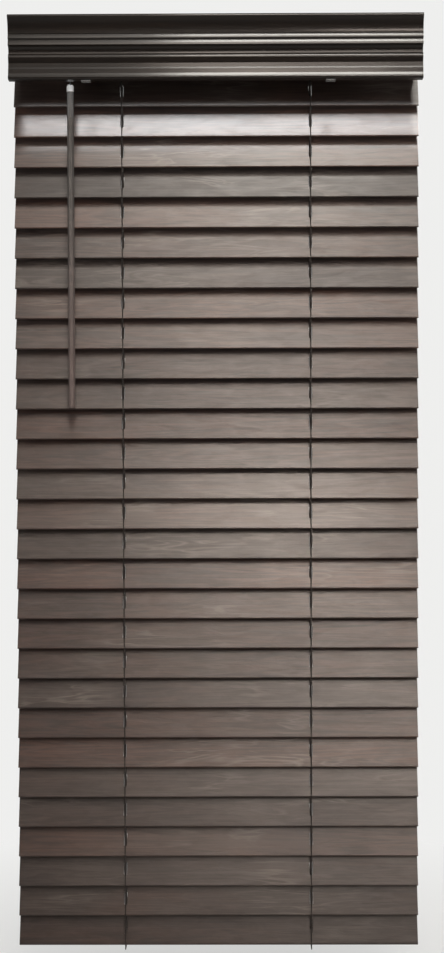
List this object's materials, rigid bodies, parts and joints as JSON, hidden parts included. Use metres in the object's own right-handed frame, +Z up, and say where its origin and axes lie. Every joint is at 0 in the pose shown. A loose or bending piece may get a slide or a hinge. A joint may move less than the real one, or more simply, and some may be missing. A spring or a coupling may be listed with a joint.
{
  "type": "wooden venetian blind",
  "caption": "Dark stained wooden venetian blind: tilting slats on cord ladders under a moulded valance, turned by a wand and hung from box brackets.",
  "frame": {"origin": "centre of the four mounting screws, on the plane that the brackets hang from", "axes": "+Z up along the screws, X along the slats with the wand on -X, -Y towards the room"},
  "size_m": [0.596, 0.1138, 1.3729],
  "materials": {
    "slat_wood": "stained, satin",
    "valance_wood": "stained, satin",
    "rail_steel": "baked enamel, dark brown",
    "bracket_steel": "baked enamel, dark brown",
    "clip_plastic": "clear grey",
    "cradle_plastic": "moulded",
    "rocker_plastic": "moulded",
    "housing_plastic": "moulded",
    "button_plastic": "moulded",
    "zinc_steel": "zinc plated",
    "cap_plastic": "moulded",
    "sleeve_plastic": "moulded",
    "wand_finish": "stained, satin",
    "cord": "braided"
  },
  "bodies": {
    "headrail": {"headrail": "rail_steel", "valance": "valance_wood", "lift_spring_case": "housing_plastic", "tilter_housing": "housing_plastic", "left_bracket": "bracket_steel", "left_bracket_gate": "bracket_steel", "left_valance_clip": "clip_plastic", "left_cradle": "cradle_plastic", "left_lift_cord": "cord", "right_bracket": "bracket_steel", "right_bracket_gate": "bracket_steel", "right_valance_clip": "clip_plastic", "right_cradle": "cradle_plastic", "right_lift_cord": "cord"},
    "tilt_rod": {"tilt_rod": "zinc_steel", "left_rocker": "rocker_plastic", "right_rocker": "rocker_plastic", "tilter_gear": "rocker_plastic"},
    "front_ladder_strings": {"left_front_ladder_string": "cord", "right_front_ladder_string": "cord"},
    "back_ladder_strings": {"left_back_ladder_string": "cord", "right_back_ladder_string": "cord"},
    "bottom_rail": {"bottom_rail": "slat_wood", "left_rail_button": "button_plastic", "right_rail_button": "button_plastic"},
    "tilter_worm": {"tilter_worm": "zinc_steel"},
    "wand_hook": {"wand_hook": "zinc_steel"},
    "wand": {"wand_cap": "cap_plastic", "wand_sleeve": "sleeve_plastic", "wand_rod": "wand_finish"},
    "slat_01": {"slat_01": "slat_wood"},
    "slat_02": {"slat_02": "slat_wood"},
    "slat_03": {"slat_03": "slat_wood"},
    "slat_04": {"slat_04": "slat_wood"},
    "slat_05": {"slat_05": "slat_wood"},
    "slat_06": {"slat_06": "slat_wood"},
    "slat_07": {"slat_07": "slat_wood"},
    "slat_08": {"slat_08": "slat_wood"},
    "slat_09": {"slat_09": "slat_wood"},
    "slat_10": {"slat_10": "slat_wood"},
    "slat_11": {"slat_11": "slat_wood"},
    "slat_12": {"slat_12": "slat_wood"},
    "slat_13": {"slat_13": "slat_wood"},
    "slat_14": {"slat_14": "slat_wood"},
    "slat_15": {"slat_15": "slat_wood"},
    "slat_16": {"slat_16": "slat_wood"},
    "slat_17": {"slat_17": "slat_wood"},
    "slat_18": {"slat_18": "slat_wood"},
    "slat_19": {"slat_19": "slat_wood"},
    "slat_20": {"slat_20": "slat_wood"},
    "slat_21": {"slat_21": "slat_wood"},
    "slat_22": {"slat_22": "slat_wood"},
    "slat_23": {"slat_23": "slat_wood"},
    "slat_24": {"slat_24": "slat_wood"},
    "slat_25": {"slat_25": "slat_wood"},
    "slat_26": {"slat_26": "slat_wood"},
    "slat_27": {"slat_27": "slat_wood"},
    "slat_28": {"slat_28": "slat_wood"}
  },
  "joints": [
    {"name": "tilt_rod_turn", "type": "hinge", "parent": "headrail", "child": "tilt_rod", "pos_m": [0, 0, -0.034], "axis": [-1, 0, 0], "range_deg": [0, 144]},
    {"name": "slat_01_tilt", "type": "hinge", "parent": "headrail", "child": "slat_01", "pos_m": [0, 0, -0.097], "axis": [-1, 0, 0], "range_deg": [0, 144]},
    {"name": "slat_02_tilt", "type": "hinge", "parent": "headrail", "child": "slat_02", "pos_m": [0, 0, -0.1415], "axis": [-1, 0, 0], "range_deg": [0, 144]},
    {"name": "slat_03_tilt", "type": "hinge", "parent": "headrail", "child": "slat_03", "pos_m": [0, 0, -0.186], "axis": [-1, 0, 0], "range_deg": [0, 144]},
    {"name": "slat_04_tilt", "type": "hinge", "parent": "headrail", "child": "slat_04", "pos_m": [0, 0, -0.2305], "axis": [-1, 0, 0], "range_deg": [0, 144]},
    {"name": "slat_05_tilt", "type": "hinge", "parent": "headrail", "child": "slat_05", "pos_m": [0, 0, -0.275], "axis": [-1, 0, 0], "range_deg": [0, 144]},
    {"name": "slat_06_tilt", "type": "hinge", "parent": "headrail", "child": "slat_06", "pos_m": [0, 0, -0.3195], "axis": [-1, 0, 0], "range_deg": [0, 144]},
    {"name": "slat_07_tilt", "type": "hinge", "parent": "headrail", "child": "slat_07", "pos_m": [0, 0, -0.364], "axis": [-1, 0, 0], "range_deg": [0, 144]},
    {"name": "slat_08_tilt", "type": "hinge", "parent": "headrail", "child": "slat_08", "pos_m": [0, 0, -0.4085], "axis": [-1, 0, 0], "range_deg": [0, 144]},
    {"name": "slat_09_tilt", "type": "hinge", "parent": "headrail", "child": "slat_09", "pos_m": [0, 0, -0.453], "axis": [-1, 0, 0], "range_deg": [0, 144]},
    {"name": "slat_10_tilt", "type": "hinge", "parent": "headrail", "child": "slat_10", "pos_m": [0, 0, -0.4975], "axis": [-1, 0, 0], "range_deg": [0, 144]},
    {"name": "slat_11_tilt", "type": "hinge", "parent": "headrail", "child": "slat_11", "pos_m": [0, 0, -0.542], "axis": [-1, 0, 0], "range_deg": [0, 144]},
    {"name": "slat_12_tilt", "type": "hinge", "parent": "headrail", "child": "slat_12", "pos_m": [0, 0, -0.5865], "axis": [-1, 0, 0], "range_deg": [0, 144]},
    {"name": "slat_13_tilt", "type": "hinge", "parent": "headrail", "child": "slat_13", "pos_m": [0, 0, -0.631], "axis": [-1, 0, 0], "range_deg": [0, 144]},
    {"name": "slat_14_tilt", "type": "hinge", "parent": "headrail", "child": "slat_14", "pos_m": [0, 0, -0.6755], "axis": [-1, 0, 0], "range_deg": [0, 144]},
    {"name": "slat_15_tilt", "type": "hinge", "parent": "headrail", "child": "slat_15", "pos_m": [0, 0, -0.72], "axis": [-1, 0, 0], "range_deg": [0, 144]},
    {"name": "slat_16_tilt", "type": "hinge", "parent": "headrail", "child": "slat_16", "pos_m": [0, 0, -0.7645], "axis": [-1, 0, 0], "range_deg": [0, 144]},
    {"name": "slat_17_tilt", "type": "hinge", "parent": "headrail", "child": "slat_17", "pos_m": [0, 0, -0.809], "axis": [-1, 0, 0], "range_deg": [0, 144]},
    {"name": "slat_18_tilt", "type": "hinge", "parent": "headrail", "child": "slat_18", "pos_m": [0, 0, -0.8535], "axis": [-1, 0, 0], "range_deg": [0, 144]},
    {"name": "slat_19_tilt", "type": "hinge", "parent": "headrail", "child": "slat_19", "pos_m": [0, 0, -0.898], "axis": [-1, 0, 0], "range_deg": [0, 144]},
    {"name": "slat_20_tilt", "type": "hinge", "parent": "headrail", "child": "slat_20", "pos_m": [0, 0, -0.9425], "axis": [-1, 0, 0], "range_deg": [0, 144]},
    {"name": "slat_21_tilt", "type": "hinge", "parent": "headrail", "child": "slat_21", "pos_m": [0, 0, -0.987], "axis": [-1, 0, 0], "range_deg": [0, 144]},
    {"name": "slat_22_tilt", "type": "hinge", "parent": "headrail", "child": "slat_22", "pos_m": [0, 0, -1.0315], "axis": [-1, 0, 0], "range_deg": [0, 144]},
    {"name": "slat_23_tilt", "type": "hinge", "parent": "headrail", "child": "slat_23", "pos_m": [0, 0, -1.076], "axis": [-1, 0, 0], "range_deg": [0, 144]},
    {"name": "slat_24_tilt", "type": "hinge", "parent": "headrail", "child": "slat_24", "pos_m": [0, 0, -1.1205], "axis": [-1, 0, 0], "range_deg": [0, 144]},
    {"name": "slat_25_tilt", "type": "hinge", "parent": "headrail", "child": "slat_25", "pos_m": [0, 0, -1.165], "axis": [-1, 0, 0], "range_deg": [0, 144]},
    {"name": "slat_26_tilt", "type": "hinge", "parent": "headrail", "child": "slat_26", "pos_m": [0, 0, -1.2095], "axis": [-1, 0, 0], "range_deg": [0, 144]},
    {"name": "slat_27_tilt", "type": "hinge", "parent": "headrail", "child": "slat_27", "pos_m": [0, 0, -1.254], "axis": [-1, 0, 0], "range_deg": [0, 144]},
    {"name": "slat_28_tilt", "type": "hinge", "parent": "headrail", "child": "slat_28", "pos_m": [0, 0, -1.2985], "axis": [-1, 0, 0], "range_deg": [0, 144]},
    {"name": "bottom_rail_tilt", "type": "hinge", "parent": "headrail", "child": "bottom_rail", "pos_m": [0, 0, -1.343], "axis": [-1, 0, 0], "range_deg": [0, 144]},
    {"name": "front_ladder_turn", "type": "hinge", "parent": "tilt_rod", "child": "front_ladder_strings", "pos_m": [0, -0.00971, -0.06389], "axis": [1, 0, 0], "range_deg": [0, 144]},
    {"name": "back_ladder_turn", "type": "hinge", "parent": "tilt_rod", "child": "back_ladder_strings", "pos_m": [0, 0.00971, -0.00411], "axis": [1, 0, 0], "range_deg": [0, 144]},
    {"name": "tilter_worm_spin", "type": "hinge", "parent": "headrail", "child": "tilter_worm", "pos_m": [-0.212, -0.01088, -0.02893], "axis": [0, -0.4226, -0.9063], "range_deg": [0, 2016]},
    {"name": "wand_swing", "type": "hinge", "parent": "headrail", "child": "wand_hook", "pos_m": [-0.212, -0.033, -0.07637], "axis": [-1, 0, 0], "range_deg": [0, 20]},
    {"name": "wand_spin", "type": "hinge", "parent": "wand_hook", "child": "wand", "pos_m": [-0.212, -0.033, -0.07637], "axis": [0, 0, -1], "range_deg": [0, 2016]}
  ],
  "couplings": [
    {"joint": "slat_01_tilt", "follows": "tilt_rod_turn", "ratio": 1},
    {"joint": "slat_02_tilt", "follows": "tilt_rod_turn", "ratio": 1},
    {"joint": "slat_03_tilt", "follows": "tilt_rod_turn", "ratio": 1},
    {"joint": "slat_04_tilt", "follows": "tilt_rod_turn", "ratio": 1},
    {"joint": "slat_05_tilt", "follows": "tilt_rod_turn", "ratio": 1},
    {"joint": "slat_06_tilt", "follows": "tilt_rod_turn", "ratio": 1},
    {"joint": "slat_07_tilt", "follows": "tilt_rod_turn", "ratio": 1},
    {"joint": "slat_08_tilt", "follows": "tilt_rod_turn", "ratio": 1},
    {"joint": "slat_09_tilt", "follows": "tilt_rod_turn", "ratio": 1},
    {"joint": "slat_10_tilt", "follows": "tilt_rod_turn", "ratio": 1},
    {"joint": "slat_11_tilt", "follows": "tilt_rod_turn", "ratio": 1},
    {"joint": "slat_12_tilt", "follows": "tilt_rod_turn", "ratio": 1},
    {"joint": "slat_13_tilt", "follows": "tilt_rod_turn", "ratio": 1},
    {"joint": "slat_14_tilt", "follows": "tilt_rod_turn", "ratio": 1},
    {"joint": "slat_15_tilt", "follows": "tilt_rod_turn", "ratio": 1},
    {"joint": "slat_16_tilt", "follows": "tilt_rod_turn", "ratio": 1},
    {"joint": "slat_17_tilt", "follows": "tilt_rod_turn", "ratio": 1},
    {"joint": "slat_18_tilt", "follows": "tilt_rod_turn", "ratio": 1},
    {"joint": "slat_19_tilt", "follows": "tilt_rod_turn", "ratio": 1},
    {"joint": "slat_20_tilt", "follows": "tilt_rod_turn", "ratio": 1},
    {"joint": "slat_21_tilt", "follows": "tilt_rod_turn", "ratio": 1},
    {"joint": "slat_22_tilt", "follows": "tilt_rod_turn", "ratio": 1},
    {"joint": "slat_23_tilt", "follows": "tilt_rod_turn", "ratio": 1},
    {"joint": "slat_24_tilt", "follows": "tilt_rod_turn", "ratio": 1},
    {"joint": "slat_25_tilt", "follows": "tilt_rod_turn", "ratio": 1},
    {"joint": "slat_26_tilt", "follows": "tilt_rod_turn", "ratio": 1},
    {"joint": "slat_27_tilt", "follows": "tilt_rod_turn", "ratio": 1},
    {"joint": "slat_28_tilt", "follows": "tilt_rod_turn", "ratio": 1},
    {"joint": "bottom_rail_tilt", "follows": "tilt_rod_turn", "ratio": 1},
    {"joint": "front_ladder_turn", "follows": "tilt_rod_turn", "ratio": 1},
    {"joint": "back_ladder_turn", "follows": "tilt_rod_turn", "ratio": 1},
    {"joint": "tilter_worm_spin", "follows": "tilt_rod_turn", "ratio": 14},
    {"joint": "wand_spin", "follows": "tilt_rod_turn", "ratio": 14}
  ]
}
